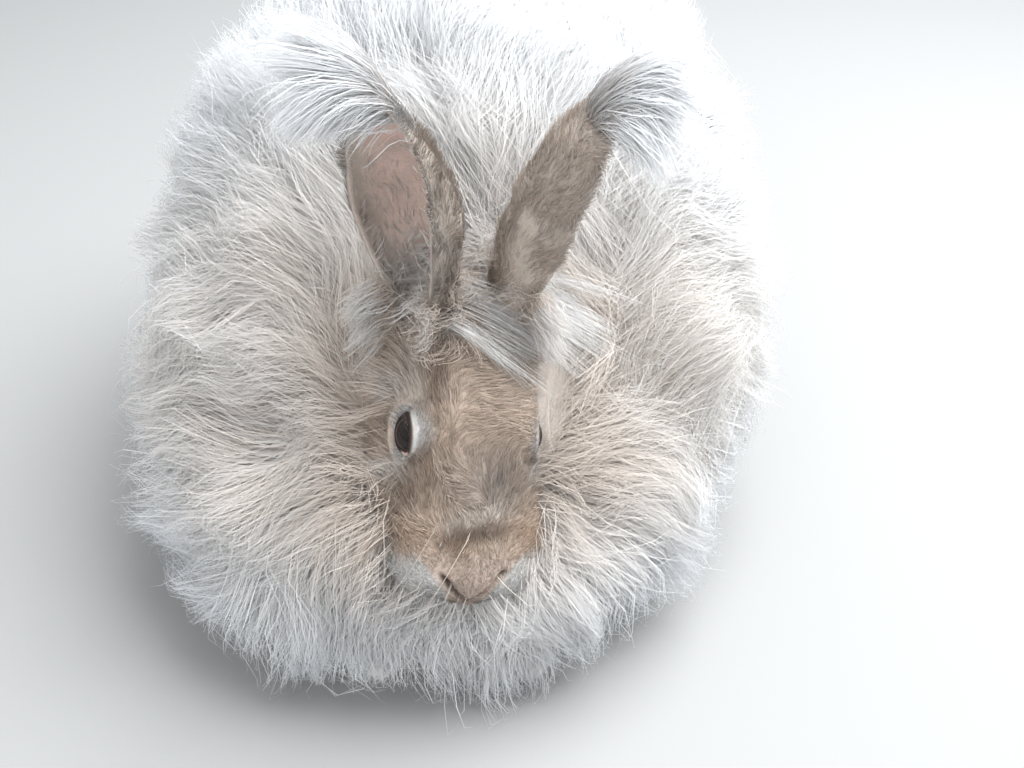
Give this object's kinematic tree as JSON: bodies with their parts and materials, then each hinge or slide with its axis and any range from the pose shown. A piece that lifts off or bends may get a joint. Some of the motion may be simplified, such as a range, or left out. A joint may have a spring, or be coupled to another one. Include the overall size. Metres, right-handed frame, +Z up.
{
  "type": "angora rabbit",
  "caption": "Life-size still model of a cream and fawn angora rabbit sitting low, ears up with long plumes at their tips.",
  "frame": {"origin": "on the floor under the middle of the whole model's box", "axes": "the rabbit faces -Y, its left side is +X, +Z is up"},
  "size_m": [0.314, 0.3868, 0.2899],
  "materials": {
    "long_coat": "long soft angora wool, cream-white with a pale fawn undercoat",
    "face_fur": "short fawn fur with darker tips",
    "ear_fur": "short grey-fawn fur outside, bare rosy skin inside",
    "plume_hair": "long silky hair, blue-white",
    "nose_pad": "soft, matt, rose-tan",
    "eye": "wet black gloss"
  },
  "bodies": {
    "root": {"head": "face_fur", "nose": "nose_pad", "eye_left": "eye", "eye_right": "eye", "ear_left": "ear_fur", "ear_right": "ear_fur", "plume_left": "plume_hair", "plume_right": "plume_hair", "neck_ruff": "long_coat", "trunk": "long_coat", "rump": "long_coat", "tail": "long_coat", "foreleg_left": "long_coat", "foreleg_right": "long_coat", "hindleg_left": "long_coat", "hindleg_right": "long_coat"}
  },
  "joints": []
}
